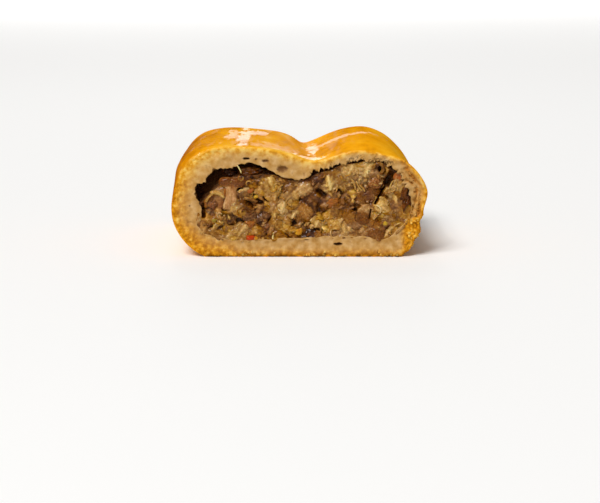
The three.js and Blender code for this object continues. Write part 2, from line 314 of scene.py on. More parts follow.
def rim_rings(y, out):
    """The rounded edge from the skin to a cut. Out is -1 at the front cut and 1 at the back."""
    rings = []
    for angle in np.linspace(0, math.pi / 2, rim_steps + 1)[1:]:
        ring = skin_ring(y - out * rim_round)
        ring -= sideways(ring) * rim_round * (1 - math.cos(angle))
        ring[:, 1] = y - out * rim_round * (1 - math.sin(angle))
        ring[:, 2] = np.maximum(ring[:, 2], 0)
        rings.append(ring)
    return rings


def distance_to(points, ring):
    """Shortest way, across and up, from each point to a ring."""
    gaps = points[:, None, [0, 2]] - ring[None, :, [0, 2]]
    return np.sqrt((gaps**2).sum(axis=2).min(axis=1))


def cut_relief(points, depth, holes):
    """Height of a cut's surface out of its plane, how much painted shade darkens each point in a pore or air
    hole, and how far it lies in the seam. Depth is how far a point lies in from the skin."""
    across, up = points[:, 0], points[:, 2]
    rim = np.exp(-((depth / (rim_width + rim_wider * ease(across, -15, -45))) ** 2))
    coarse = 0.3 + 1.1 * ease(bumps(points, 7, 3.9), -0.3, 0.4)
    grain = 0.6 * bumps(points, 3.4) + 0.5 * bumps(points, 1.5, 8.1) + 0.3 * bumps(points, 0.7, 6.3)
    height = rim * coarse * grain
    height += (1 - rim) * (0.25 * bumps(points, 4) + 0.12 * bumps(points, 1.2))
    pores = ease(bumps(points, 1.7, 7.1), 0.5, 0.65) * (1 - rim)
    height -= 0.3 * pores
    # Gap is painted shade: pores and air holes are coloured dark brown where they sink into the cut.
    gap = 0.25 * pores
    for hole_across, hole_up, wide, high, deep in holes:
        near = ((across - hole_across) / (wide / 2)) ** 2 + ((up - hole_up) / (high / 2)) ** 2
        near += 0.5 * bumps(points, 1, 2.2)
        height -= deep * np.sqrt(np.clip(1 - near, 0, 1))
        gap = np.maximum(gap, min(1, 0.4 + 0.3 * deep) * ease(near, 1.5, 0.2))
    seam_here = ease(across, 40, 44) * ease(up, 43.5, 41) * ease(up, 16, 19)
    seam_here *= 0.45 + 0.55 * ease(bumps(points, 2.4, 9.1), -0.3, 0.1)
    wander = 0.8 * bumps(points, 5, 3.3) + 0.6 * bumps(points, 1.7, 5.1)
    outer_seam = 2.7 * ease(up, 44, 37) + wander
    layers = np.exp(-(((depth - outer_seam) / 0.85) ** 2))
    layers += 0.9 * np.exp(-(((depth - outer_seam - 2.4 - 1.2 * wander) / 0.7) ** 2)) * ease(up, 39, 35)
    height += seam_here * (0.9 * bumps(points, 2.6, 4.7) - seam_depth * layers)
    height += 0.5 * seam_here * grains(points, 1.2)
    seam = seam_here * np.clip(layers, 0, 1)
    height += torn_flank(points) * (0.9 * bumps(points, 2.4) + 0.9 * bumps(points, 1.1, 7.7) - 0.3)
    return height, gap, seam


bare = np.zeros(around_steps)
baked = np.ones(around_steps)
cuts = {}
for y, out, holes in ((front, -1, front_holes), (back, 1, back_holes)):
    edge = skin_ring(y - out * rim_round)
    inner_edge = bore_ring(y)
    rim = rim_rings(y, out)
    wall = [rim[-1] + (inner_edge - rim[-1]) * share for share in np.linspace(0, 1, wall_steps + 1)[1:-1]]
    cuts[out] = []
    for step, ring in enumerate(rim + wall):
        depth = distance_to(ring, edge)
        height, gap, seam = cut_relief(ring, depth, holes)
        inside = distance_to(ring, inner_edge)
        ring[:, 1] += out * height * ease(inside, 0, 0.8) * ease(depth, 0.1, 0.9)
        damp = ease(bumps(ring, 2.5, 3.1), -0.5, 0.4)
        soaked = soak_share * ease(inside, soak_width, 0) * ease(ring[:, 2], 36, 24) * damp
        torn = torn_flank(ring)
        crust_reach = crust_width + 3 * ease(ring[:, 0], -25, -50) + 0.8 * bumps(ring, 4, 1.9)
        crust_reach += 3.4 * ease(ring[:, 0], -20, -40) * ease(ring[:, 2], 18, 8)
        crust_reach -= 1.1 * ease(ring[:, 0], 8, 20) * ease(ring[:, 2], 26, 34)
        crust = np.maximum(np.exp(-((depth / crust_reach) ** 2)), torn)
        skin = np.full(around_steps, max(0, 1 - (step + 1) / rim_steps)) * (1 - torn)
        cuts[out].append((ring, (skin, crust, gap, np.maximum(seam, torn_tint * torn), soaked)))
skin_along = front + rim_round + (length - 2 * rim_round) * lingering(skin_steps)
skin_loft = []
for y in skin_along:
    ring = skin_ring(y)
    torn = torn_flank(ring)
    skin_loft.append((ring, (1 - torn, baked, bare, torn_tint * torn, bare)))
bore_loft = []
for y in back - length * lingering(bore_steps):
    stained = np.full(around_steps, float(ease(min(y - front, back - y), 0.3, 3)))
    bore_loft.append((bore_ring(y), (bare, bare, bare, bare, stained)))
front_cut = cuts[-1][::-1]
wrap_loft = front_cut[-rim_steps:] + skin_loft + cuts[1] + bore_loft + front_cut[:-rim_steps]
wrap_points = np.vstack([ring for ring, look in wrap_loft])
wrap_skin, wrap_crust, wrap_hole_shade, wrap_seam, wrap_stain = (
    np.concatenate([look[k] for ring, look in wrap_loft]) for k in range(5)
)


def loft_faces(ring_count, ring_size, looped):
    """Four-cornered faces that join each ring to the next, and the last to the first if looped."""
    last = ring_count if looped else ring_count - 1
    ring, place = np.meshgrid(np.arange(last), np.arange(ring_size), indexing="ij")
    here = ring * ring_size
    there = (ring + 1) % ring_count * ring_size
    after = (place + 1) % ring_size
    return np.stack([here + place, here + after, there + after, there + place], axis=-1).reshape(-1, 4)


def mark(mesh, **attributes):
    """Gives the points of a mesh their named values."""
    for label, values in attributes.items():
        attribute = mesh.attributes.new(label, "FLOAT", "POINT")
        attribute.data.foreach_set("value", np.asarray(values, np.float32))


def mesh_piece(name, points, faces, material, **attributes):
    """A smooth mesh object at the origin, from points in millimetres, with values for its points."""
    mesh = bpy.data.meshes.new(name)
    mesh.from_pydata((np.asarray(points) * MM).tolist(), [], [list(face) for face in faces])
    mesh.shade_smooth()
    mark(mesh, **attributes)
    mesh.materials.append(material)
    piece = bpy.data.objects.new(name, mesh)
    bpy.context.scene.collection.objects.link(piece)
    return piece


def linear(hex_colour):
    """The linear colour of an sRGB hex value."""
    channels = [int(hex_colour[k : k + 2], 16) / 255 for k in (1, 3, 5)]
    return (*[c / 12.92 if c <= 0.04045 else ((c + 0.055) / 1.055) ** 2.4 for c in channels], 1)


def add(tree, kind, inputs=None, stops=(), **settings):
    """A node with its settings and colour stops, and each input set to a value or linked to a socket."""
    made = tree.nodes.new(kind)
    for label, value in settings.items():
        setattr(made, label, value)
    for label, value in (inputs or {}).items():
        if isinstance(value, bpy.types.NodeSocket):
            tree.links.new(value, made.inputs[label])
        else:
            made.inputs[label].default_value = value
    for k, (share, colour) in enumerate(stops):
        elements = made.color_ramp.elements
        element = elements[k] if k < len(elements) else elements.new(share)
        element.position = share
        element.color = linear(colour)
    return made


# Baked yeast dough under an egg glaze: satin golden skin, duller and browner low on the flanks (the left
# flank's brown partly painted shade), a grainy golden rim at a cut, and matt cream crumb inside, stained
# brown where the filling's juice soaked in. The coat has a higher IOR than egg and a low weight, so that the
# top keeps its colour at a low angle.
dough = bpy.data.materials.new("egg_glazed_dough")
dough.use_nodes = True
tree = dough.node_tree
blotch_size = 11 * MM
mottle_size = 4 * MM
stroke_size = 1.3 * MM
grain_size = 1.6 * MM
crumb_size = 3 * MM
grain_height = 0.4 * MM
place = add(tree, "ShaderNodeTexCoord").outputs["Object"]
skin, crust, gap, seam, stain, glaze, gloss, scorch, shade, pale = (
    add(tree, "ShaderNodeAttribute", attribute_name=label).outputs["Fac"]
    for label in ("skin", "crust", "gap", "seam", "stain", "glaze", "gloss", "scorch", "shade", "pale")
)
lengthwise, brushed_out = (
    add(tree, "ShaderNodeVectorMath", {0: place, 1: (1, squeeze, 1)}, operation="MULTIPLY").outputs[0]
    for squeeze in (0.4, 0.06)
)
blotches, mottles, strokes, grain, crumb = (
    add(tree, "ShaderNodeTexNoise", {"Vector": vector, "Scale": 1 / size, "Detail": 6}).outputs["Fac"]
    for vector, size in (
        (lengthwise, blotch_size),
        (place, mottle_size),
        (brushed_out, stroke_size),
        (place, grain_size),
        (place, crumb_size),
    )
)
clumps = add(tree, "ShaderNodeMath", {0: grain, 1: crumb}, operation="ADD").outputs[0]
spread = add(tree, "ShaderNodeMath", {0: clumps, 1: 0.62, 2: -0.12}, operation="MULTIPLY_ADD").outputs[0]
lighter = add(tree, "ShaderNodeMath", {0: shade, 1: 0.25, 2: spread}, operation="MULTIPLY_ADD").outputs[0]
browned = pale
for pattern, strength in ((blotches, 0.8), (mottles, 0.45), (strokes, 0.12)):
    weight = {0: pattern, 1: strength, 2: browned}
    browned = add(tree, "ShaderNodeMath", weight, operation="MULTIPLY_ADD").outputs[0]
skin_stops = [(0.05, "#A85E04"), (0.3, "#D48606"), (0.5, "#EE9F0C"), (0.7, "#F6AF1E"), (1, "#F9C650")]
rim_stops = [(0.3, "#8E5004"), (0.44, "#B4700A"), (0.56, "#D8951C"), (0.72, "#EEC460")]
crumb_stops = [(0.3, "#A87A3C"), (0.5, "#BA9056"), (0.7, "#CCA672")]
skin_colour = add(tree, "ShaderNodeValToRGB", {"Fac": browned}, skin_stops).outputs["Color"]
rim_colour = add(tree, "ShaderNodeValToRGB", {"Fac": lighter}, rim_stops).outputs["Color"]
crumb_colour = add(tree, "ShaderNodeValToRGB", {"Fac": crumb}, crumb_stops).outputs["Color"]
colour = add(tree, "ShaderNodeMix", {0: crust, 6: crumb_colour, 7: rim_colour}, data_type="RGBA").outputs[2]
# Over the crumb and rim: toasted seam layers, scorched base, painted shade in pores and holes, juice stain.
for share, over in (
    (skin, skin_colour),
    (seam, linear("#BC7E30")),
    (scorch, linear("#5A2E0C")),
    (gap, linear("#5C3520")),
    (stain, linear("#74491E")),
):
    colour = add(tree, "ShaderNodeMix", {0: share, 6: colour, 7: over}, data_type="RGBA").outputs[2]
matt = add(tree, "ShaderNodeMapRange", {"Value": skin, "To Min": 0.6, "To Max": 0.12}).outputs["Result"]
grainy = add(
    tree, "ShaderNodeBump", {"Height": grain, "Strength": matt, "Distance": grain_height}
).outputs["Normal"]
aslant = add(tree, "ShaderNodeLayerWeight").outputs["Facing"]
broadside = add(
    tree, "ShaderNodeMapRange", {"Value": aslant, "From Min": 0.75, "From Max": 0.4}
).outputs["Result"]
coat = add(tree, "ShaderNodeMath", {0: broadside, 1: gloss, 2: glaze}, operation="MULTIPLY_ADD").outputs[0]
shader = tree.nodes["Principled BSDF"]
tree.links.new(colour, shader.inputs["Base Color"])
tree.links.new(grainy, shader.inputs["Normal"])
tree.links.new(coat, shader.inputs["Coat Weight"])
shader.inputs["Roughness"].default_value = 0.7
shader.inputs["Specular IOR Level"].default_value = 0
shader.inputs["Coat Roughness"].default_value = 0.12
shader.inputs["Coat IOR"].default_value = 3

across, along, up = wrap_points.T
thinnest_glaze = 0.006
stroke_glaze = 0.035  # how much thicker it is in the strokes of the brush
crease_glaze = 0.008  # and by the crease
thinnest_gloss = 0.05  # of the glaze seen broadside
# Where the glaze pooled: across, behind the front cut, half the width, half the length, and how thickly
pools = [
    (-25.5, 40, 3.2, 44, 0.28),
    (-21, 65, 5, 9, 0.2),
    (-31, 50, 3, 20, 0.16),
    (5.5, 46, 2.4, 24, 0.28),
    (4.6, 7, 6.5, 7, 0.28),
    (20, 49, 17, 5, 0.15),
    (-13, 14, 13, 12, 0.07),
]
# Where the skin is browner or paler: the same, and how much paler. The dark left flank is partly painted
# shade, and the pale patches along the front edge of the top are partly a painted sheen.
tone_shift = -0.18  # brings the mean of the patterns to the middle of the skin's colours
browning_and_painted_light = [
    (-52, 30, 10, 70, -0.46),
    (-1, 6, 6, 9, -0.2),
    (15, 20, 6, 24, -0.1),
    (25, 40, 12, 26, -0.04),
    (41, 20, 9, 50, 0.18),
    (-28, 2, 26, 4, 0.14),
    (-4, 2, 14, 7, 0.5),
]


def away_from(spot_across, spot_behind, half_wide, half_long):
    """Squared way of each point of the wrap from a spot's middle: 1 at the spot's edge."""
    return ((across - spot_across) / half_wide) ** 2 + ((along - front - spot_behind) / half_long) ** 2


wrap_pooled = np.zeros(len(wrap_points))
stretched = wrap_points * [1, 0.35, 1]
uneven = 1.1 * bumps(stretched, 4, 4.4) + 1.3 * bumps(stretched, 1.7, 2.4)
for *spot, thick in pools:
    wrap_pooled = np.maximum(wrap_pooled, thick * ease(away_from(*spot) + uneven, 1.1, 0.6))
brushed = stroke_glaze * ease(bumps(wrap_points * [1, 0.12, 1], 2.2, 6.6), 0.1, 0.5)
thin_glaze = (thinnest_glaze + brushed) * (1 - 0.8 * ease(across, 14, 26))
thin_glaze += crease_glaze * np.exp(-(((across + 2) / 12) ** 2))
wrap_glaze = wrap_skin * ease(up, 6, 16) * (thin_glaze + wrap_pooled)
wrap_gloss = wrap_skin * ease(up, 18, 40) * (thinnest_gloss + 2.4 * brushed)
wrap_pale = np.full(len(wrap_points), tone_shift)
for *spot, paler in browning_and_painted_light:
    wrap_pale += paler * np.exp(-away_from(*spot)) * ease(up, 10, 24)
wrap_scorch = ease(up, 2.4, 0.3) * np.clip(0.45 + 0.9 * bumps(wrap_points, 1.7), 0, 1)
wrap_torn = torn_flank(wrap_points)
# The rim is paler over the roof, on the torn flank and outside the seam
wrap_shade = 0.5 * ease(up, 26, 40) * (1 - 0.6 * ease(across, 20, 40)) + 0.15 * wrap_torn
wrap_shade += 0.3 * ease(across, 47, 50.5) * ease(up, 18, 22)
wrap_near_cut = ease(np.minimum(np.abs(along - front), np.abs(along - back)), 2.2, 0.8)
wrap_crumbs = np.maximum(0.35 * wrap_torn, wrap_near_cut * ease(up, 3, 1) * 0.4)
wrap_crumbs = np.maximum(wrap_crumbs, 0.8 * wrap_seam)
dough_wrap = mesh_piece(
    "strudel_dough",
    wrap_points,
    loft_faces(len(wrap_loft), around_steps, True),
    dough,
    skin=wrap_skin,
    crust=wrap_crust,
    gap=wrap_hole_shade,
    seam=wrap_seam,
    stain=wrap_stain,
    glaze=wrap_glaze,
    gloss=wrap_gloss,
    scorch=wrap_scorch,
    pale=wrap_pale,
    shade=wrap_shade,
    crumb_share=wrap_crumbs * (1 - wrap_stain),
)
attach(dough_wrap, "root")
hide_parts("dough_wrap")

# The filling's core: cabbage and mushroom stewed down to a soft mash that fills the wrap, sunk a little
# behind both cuts, with an air gap under the roof where it shrank in the oven.
core_overlap = 0.9  # into the dough, so that no slit shows between them
face_recess = 1.3
edge_forward = 0.9  # how far the face comes out again where it meets the dough
pocket_reach = 26  # how far the air gap over the filling runs in from a cut
pocket_rise = 17  # how much higher the filling lies past the gap
spine_half = 26  # the rings of a face close in on a level line this long to both sides
spine_up = 17
core_steps = 560
fine_steps = 4000  # round the bore, to pick the core's steps from
face_steps = 70
body_steps = 24
hidden_look = (0.62, 0.6, 0)  # how brown, how meaty and which lie of fibres inside the log
morsel_count = 2000  # soft pieces that lie over each other on one face
morsel_least, morsel_more = 0.8, 3.4  # half the length of the smallest, and how much more the largest has
strewn_wide, strewn_tall, strewn_low = 100, 38, 5  # the part of a face that they are strewn over
melt_sharpness = 5  # how sharply one piece ends at the next
melt_edge = 1.3  # squared way from a piece's middle to where it ends
edge_low, edge_high, edge_large = -2.4, 0.2, -1.1  # heights of the pieces' edges out of the face

# The top of the filling at a cut: place across in widths, place up in heights
filling_top_rows = np.array(
    [
        (-0.42, 0.4),
        (-0.33, 0.6),
        (-0.26, 0.72),
        (-0.1, 0.73),
        (-0.03, 0.69),
        (0.025, 0.7),
        (0.12, 0.785),
        (0.18, 0.835),
        (0.26, 0.86),
        (0.33, 0.84),
        (0.38, 0.74),
        (0.44, 0.64),
    ]
)
# Crevices between the pieces: across and up at both ends, half width and depth
crevices = [
    (41, 38.5, 38, 32.5, 1.5, 6),
    (38, 32.5, 32.8, 23.6, 0.5, 3.5),
    (30.8, 21, 30.3, 17, 0.3, 1.5),
    (-13, 37.6, -4, 34.6, 0.8, 5),
    (35.4, 38.6, 35.6, 38.2, 1.2, 6),
    (-43, 27, -42, 18, 0.8, 4),
    (8, 29, 10.5, 27, 1, 3),
    (-18.6, 24.6, -17, 24, 0.9, 3),
    (-27.2, 29.8, -25.6, 30.4, 0.6, 3),
]
# What the cut shows where: across, up, reach, how brown it is, and 0 for cabbage up to 1 for mushroom
patches = [
    (-28, 34, 5, 0.7, 1),
    (-37, 25, 4, 0.46, 1),
    (-39, 18.5, 4, 0.4, 0.8),
    # This dark patch high under the left roof is partly painted shade.
    (-22, 37.5, 5, 0.7, 0.8),
    (-23, 30, 3.5, 0.4, 0.3),
    (-17, 35, 3, 0.45, 0.2),
    (-12.5, 31.5, 4.5, 0.32, 0),
    (-20.5, 29, 3, 0.4, 0.3),
    (-20.5, 20, 5, 0.66, 0.6),
    (-32, 12, 6, 0.44, 0),
    (-22, 14, 4, 0.42, 0.3),
    (-14, 12, 3.5, 0.6, 0.8),
    (-5, 27, 4.5, 0.46, 0.1),
    (-6, 17, 5, 0.3, 0.1),
    (-12, 21, 3.5, 0.36, 0.1),
    (-4, 32, 4, 0.5, 0.2),
    (2, 24, 3.5, 0.76, 0.9),
    (5, 33.5, 4, 0.75, 0.8),
    (7.5, 21.5, 3.5, 0.85, 0.3),
    (4.3, 9.7, 3.5, 0.8, 1),
    (7.5, 15, 4, 0.25, 0),
    (12, 31, 4, 0.32, 0),
    (15, 23.5, 5, 0.44, 0.5),
    (23, 36, 6, 0.42, 0),
    (23, 30, 5, 0.33, 0),
    (17, 14, 5, 0.32, 0.1),
    (25, 18.5, 4.5, 0.52, 0.7),
    (29.5, 26, 3.5, 0.6, 0.9),
    (32.5, 33, 3.5, 0.4, 0.5),
    (40.4, 30.8, 4.5, 0.24, 0),
    (35, 26, 3, 0.6, 0.3),
    (34.5, 19.4, 4, 0.34, 0.1),
    (41, 18, 4, 0.38, 0.3),
    (33, 13.5, 3, 0.45, 0.9),
    (31.5, 9, 3.5, 0.55, 1),
    (41, 11, 4, 0.3, 0.1),
    (46, 26, 3, 0.8, 0.4),
]

# Large soft pieces in the cut: across, up, turn, length, width against length, how brown, and 0 for cabbage
# up to 1 for mushroom
large_pieces = [
    (24, 35.6, 8, 16, 0.6, 0.34, 0),
    (16.6, 34.6, -40, 7, 0.7, 0.3, 0),
    (40.4, 30.6, 60, 9, 0.75, 0.2, 0),
    (34.4, 19.2, -5, 10, 0.62, 0.24, 0),
    (40.4, 18, 30, 7, 0.75, 0.36, 0.2),
    (-4.6, 26.6, 15, 9, 0.6, 0.4, 0),
    (-12.6, 20.8, -6, 8, 0.5, 0.25, 0),
    (-6.4, 17.4, 30, 7, 0.75, 0.22, 0),
    (-12.4, 31.6, -10, 9, 0.6, 0.24, 0),
    (-30.6, 11, 30, 6, 0.7, 0.3, 0),
    (19.6, 12.4, 60, 5.5, 0.7, 0.34, 0),
    (12, 30, 30, 8, 0.6, 0.28, 0),
    (13, 16.4, 0, 8, 0.6, 0.32, 0),
    (-37.2, 24.4, 10, 8, 0.85, 0.46, 1),
    (-40, 18.6, 30, 6, 0.7, 0.36, 0.9),
    (-36.6, 17, -20, 4.5, 0.8, 0.4, 0.9),
    (-14.2, 12.2, 30, 6, 0.75, 0.46, 1),
    (4.3, 9.8, 0, 6.5, 0.75, 0.82, 1),
    (5.2, 33.4, -15, 6, 0.7, 0.66, 1),
    (-22.6, 33, -30, 5, 0.7, 0.5, 0.8),
    (32.4, 32.4, 40, 6, 0.85, 0.36, 0.7),
    (29.6, 26.4, 60, 6, 0.7, 0.5, 1),
    (33, 12.8, 3, 9, 0.4, 0.26, 1),
    (30.8, 9.4, 20, 5.5, 0.75, 0.5, 1),
    (34.4, 9.2, -20, 5, 0.7, 0.44, 1),
    (7.2, 21.5, 85, 10, 0.4, 0.85, 0.3),
    (-20.5, 20.4, 5, 10, 0.35, 0.62, 0.6),
    (15.4, 23.4, -20, 8, 0.6, 0.42, 0.8),
    # This small dark piece sits in a crevice's pocket; its dark brown is partly painted shade.
    (9.8, 27.6, 30, 3.6, 0.7, 0.85, 0.8),
    (2, 24.5, 80, 7, 0.5, 0.74, 0.9),
]


def filling_top(points, y):
    """The highest the filling reaches: its own top near a cut, and up to the roof further in."""
    rise = pocket_rise * ease(min(y - front, back - y), face_recess, pocket_reach)
    rows = filling_top_rows * section_size[:2]
    return np.interp(points[:, 0], rows[:, 0], rows[:, 1]) + rise + 0.8 * bumps(points, 5)


def blended(points, column):
    """A column of the patches at each point, blended from the patches nearby."""
    total = np.full(len(points), 0.1)
    value = np.full(len(points), 0.1 * 0.4)
    for row in patches:
        away = (points[:, 0] - row[0]) ** 2 + (points[:, 2] - row[1]) ** 2
        share = np.exp(-2 * away / row[2] ** 2)
        total += share
        value += share * row[column]
    return value / total


def soft_pieces(seed, behind):
    """The pieces of one cut, a row each: across, up, half length, half width, turn, how brown, how meaty,
    height of the edge and lean. The large ones lie elsewhere on the back cut."""
    draw = np.random.default_rng(seed)
    x, z, tint, kind, size, slim, turn, lift, lean = draw.random((9, morsel_count))
    middles = np.column_stack([strewn_wide * x - strewn_wide / 2, 0 * x, strewn_low + strewn_tall * z])
    half_long = morsel_least + morsel_more * size**3
    half_wide = half_long * (0.3 + 0.6 * slim)
    # Lower-lying pieces are browner and higher ones paler: painted shade in the hollows of the face.
    brown = blended(middles, 3) + 0.4 * (tint - 0.5) - 0.4 * (lift - 0.6)
    meaty = np.clip(blended(middles, 4) + 0.5 * (kind - 0.5), 0, 1)
    edge = edge_low + (edge_high - edge_low) * lift
    strewn = np.column_stack(
        [middles[:, 0], middles[:, 2], half_long, half_wide, math.pi * turn, brown, meaty, edge, lean - 0.5]
    )
    large = np.zeros((len(large_pieces), 9))
    large[:, :7] = large_pieces
    large[:, 0] += behind * draw.uniform(-6, 6, len(large))
    large[:, 1] += behind * draw.uniform(-2, 2, len(large))
    large[:, 2:5] = np.column_stack(
        [large[:, 3] / 2, large[:, 3] * large[:, 4] / 2, np.radians(large[:, 2])]
    )
    large[:, 7] = edge_large
    return np.vstack([strewn, large])


def stew_layers(points, rows):
    """Soft pieces of stew laid over each other on a cut: for each point the height there, how brown and how
    meaty it is, and which way its fibres run. The pieces melt into each other where they meet."""
    across = points[:, 0] + 0.8 * bumps(points, 3, 1.5) + 0.4 * bumps(points, 1.2, 2.5)
    up = points[:, 2] + 0.8 * bumps(points, 3, 3.5) + 0.4 * bumps(points, 1.2, 4.5)
    # The bare ground under all the pieces, deepest of the face, is a dark brown: painted shade.
    total = np.full(len(points), math.exp(melt_sharpness * edge_low))
    brown = 0.7 * total
    meaty = 0.4 * total
    fibres = np.zeros(len(points))
    for x, z, half_long, half_wide, turn, tone, meat, edge, lean in rows:
        u = ((across - x) * math.cos(turn) + (up - z) * math.sin(turn)) / half_long
        v = ((up - z) * math.cos(turn) - (across - x) * math.sin(turn)) / half_wide
        away = u * u + v * v
        near = away < melt_edge
        v, away = v[near], away[near]
        folds = (1 - meat) * np.sin(2.4 * v * half_wide + 20 * edge)
        dome = (0.6 + 0.3 * min(half_wide, 2)) * np.sqrt(melt_edge - away)
        top = edge + dome + 1.2 * lean * v + 0.2 * folds
        share = np.exp(melt_sharpness * top) * ease(away, melt_edge, 1)
        total[near] += share
        # Browner towards a piece's edge; fold crests painted paler and hollows browner: painted highlight and
        # shade.
        brown[near] += share * (tone + 0.1 * away - 0.1 * folds)
        meaty[near] += share * meat
        fibres[near] += share * (turn / math.pi % 1)
    return np.log(total) / melt_sharpness, brown / total, meaty / total, fibres / total


def crevice_depth(points):
    """How far a crevice sinks into a cut at each point."""
    flat = points[:, [0, 2]]
    sunk = np.zeros(len(points))
    for x0, z0, x1, z1, half_width, deep in crevices:
        start, run = np.array([x0, z0]), np.array([x1 - x0, z1 - z0])
        share = np.clip((flat - start) @ run / (run @ run), 0, 1)
        away = np.linalg.norm(flat - start - share[:, None] * run, axis=1)
        sunk = np.maximum(sunk, deep * ease(away, 1.6 * half_width, 0.4 * half_width))
    return sunk


def core_ring(y):
    """The core's outline at a place along the log."""
    ring = upright(core_section, y)
    ring += sideways(ring) * core_overlap
    ring[:, 2] = np.minimum(ring[:, 2], filling_top(ring, y))
    return ring


def core_face(y, seed, behind):
    """Rings of the core's face at a cut, from its middle to its edge, and the look of their points."""
    edge = core_ring(y)
    middle = np.full((core_steps, 3), (0, y, spine_up))
    middle[:, 0] = spine_half * (1 - 2 * np.abs(2 * np.arange(core_steps) / core_steps - 1))
    shares = np.linspace(0, 1, face_steps)
    points = np.vstack([middle + (edge - middle) * share for share in shares])
    height, *look = stew_layers(points, soft_pieces(seed, behind))
    height += 0.25 * bumps(points, 1.1, 6.1) + 0.15 * bumps(points, 0.6, 7.3)
    level = np.repeat(1 - shares**8, core_steps)
    meets = np.repeat(ease(shares, 0.8, 1), core_steps) * ease(points[:, 2], 30, 20)
    points[:, 1] += math.copysign(1, y) * meets * (edge_forward + 1.1 * bumps(points, 2.4, 5.3))
    points[:, 1] += math.copysign(1, y) * (height - crevice_depth(points)) * level
    return np.split(points, face_steps), look


def stewed(name, pale_stops, meaty_stops):
    """A moist stewed vegetable: its colour runs from pale to brown by how brown the piece is, by its own
    shade and by its fibres, which lie a different way in each piece."""
    material = bpy.data.materials.new(name)
    material.use_nodes = True
    tree = material.node_tree
    shader = tree.nodes["Principled BSDF"]
    place = add(tree, "ShaderNodeTexCoord").outputs["Object"]
    brown, meaty, shade, lie = (
        add(tree, "ShaderNodeAttribute", attribute_name=label).outputs["Fac"]
        for label in ("brown", "meaty", "shade", "fibres")
    )
    turn = add(tree, "ShaderNodeMath", {0: lie, 1: -math.pi}, operation="MULTIPLY").outputs[0]
    turned = add(
        tree, "ShaderNodeVectorRotate", {"Vector": place, "Angle": turn}, rotation_type="Y_AXIS"
    ).outputs[0]
    drawn = add(tree, "ShaderNodeVectorMath", {0: turned, 1: (0.2, 1, 1)}, operation="MULTIPLY").outputs[0]
    fibres, fine = (
        add(tree, "ShaderNodeTexNoise", {"Vector": vector, "Scale": 1 / size, "Detail": steps}).outputs["Fac"]
        for vector, size, steps in ((drawn, fibre_size, 3), (place, speck_size, 4))
    )
    both = add(tree, "ShaderNodeMath", {0: fibres, 1: fine}, operation="ADD").outputs[0]
    uneven = add(tree, "ShaderNodeMath", {0: both, 1: 0.5, 2: -0.46}, operation="MULTIPLY_ADD").outputs[0]
    own = add(tree, "ShaderNodeMath", {0: shade, 1: 0.3, 2: -0.15}, operation="MULTIPLY_ADD").outputs[0]
    piece = add(tree, "ShaderNodeMath", {0: brown, 1: own}, operation="ADD").outputs[0]
    value = add(tree, "ShaderNodeMath", {0: piece, 1: uneven}, operation="ADD").outputs[0]
    leafy = add(tree, "ShaderNodeValToRGB", {"Fac": value}, pale_stops).outputs["Color"]
    fleshy = add(tree, "ShaderNodeValToRGB", {"Fac": value}, meaty_stops).outputs["Color"]
    colour = add(tree, "ShaderNodeMix", {0: meaty, 6: leafy, 7: fleshy}, data_type="RGBA").outputs[2]
    rich = add(tree, "ShaderNodeMapRange", {"Value": lie, "To Min": 0.9, "To Max": 1.08}).outputs["Result"]
    colour = add(tree, "ShaderNodeHueSaturation", {"Color": colour, "Saturation": rich}).outputs["Color"]
    creases = add(
        tree, "ShaderNodeBump", {"Height": both, "Strength": 0.3, "Distance": fibre_height}
    ).outputs["Normal"]
    tree.links.new(colour, shader.inputs["Base Color"])
    tree.links.new(creases, shader.inputs["Normal"])
    shader.inputs["Roughness"].default_value = 0.4
    shader.inputs["Specular IOR Level"].default_value = 0.03
    shader.inputs["Coat Weight"].default_value = 0.25
    shader.inputs["Coat Roughness"].default_value = 0.1
    shader.inputs["Subsurface Weight"].default_value = 0.5
    shader.inputs["Subsurface Radius"].default_value = (1, 0.55, 0.3)
    shader.inputs["Subsurface Scale"].default_value = 1.6 * MM
    return material


def add_filling(piece):
    """A piece of the filling stands in the log's one body, for the filling's solid."""
    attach(piece, "root")
    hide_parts("filling")


# Stewed cabbage and mushroom: straw to brown leaf, and tan to dark brown flesh, all wet with juice.
fibre_size = 0.6 * MM
fibre_height = 0.4 * MM
speck_size = 0.9 * MM
leafy_stops = [(0, "#E0C07A"), (0.25, "#B88D44"), (0.5, "#8E6022"), (0.75, "#5C340A"), (1, "#2C1202")]
fleshy_stops = [(0, "#CC9E66"), (0.3, "#9C6630"), (0.55, "#723F12"), (0.8, "#4C2404"), (1, "#260E00")]
stew = stewed("stewed_filling", leafy_stops, fleshy_stops)
fine_section = smooth_loop(np.array(bore_rows) * section_size[:2], fine_steps)
left_end, right_end = (
    np.argmin(way * fine_section[:, 0] + np.abs(fine_section[:, 1] - spine_up)) for way in (1, -1)
)
over = np.linspace(left_end, right_end, core_steps // 2, endpoint=False)
under = np.linspace(right_end, left_end + fine_steps, core_steps // 2, endpoint=False)
core_section = fine_section[np.concatenate([over, under]).astype(int) % fine_steps]
core_front = front + face_recess
core_back = back - face_recess
front_rings, front_look = core_face(core_front, 3, False)
back_rings, back_look = core_face(core_back, 4, True)
core_length = core_back - core_front
body_rings = [core_ring(core_front + core_length * share) for share in lingering(body_steps)[1:-1]]
core_rings = front_rings + body_rings + back_rings[::-1]
core_points = np.vstack(core_rings)
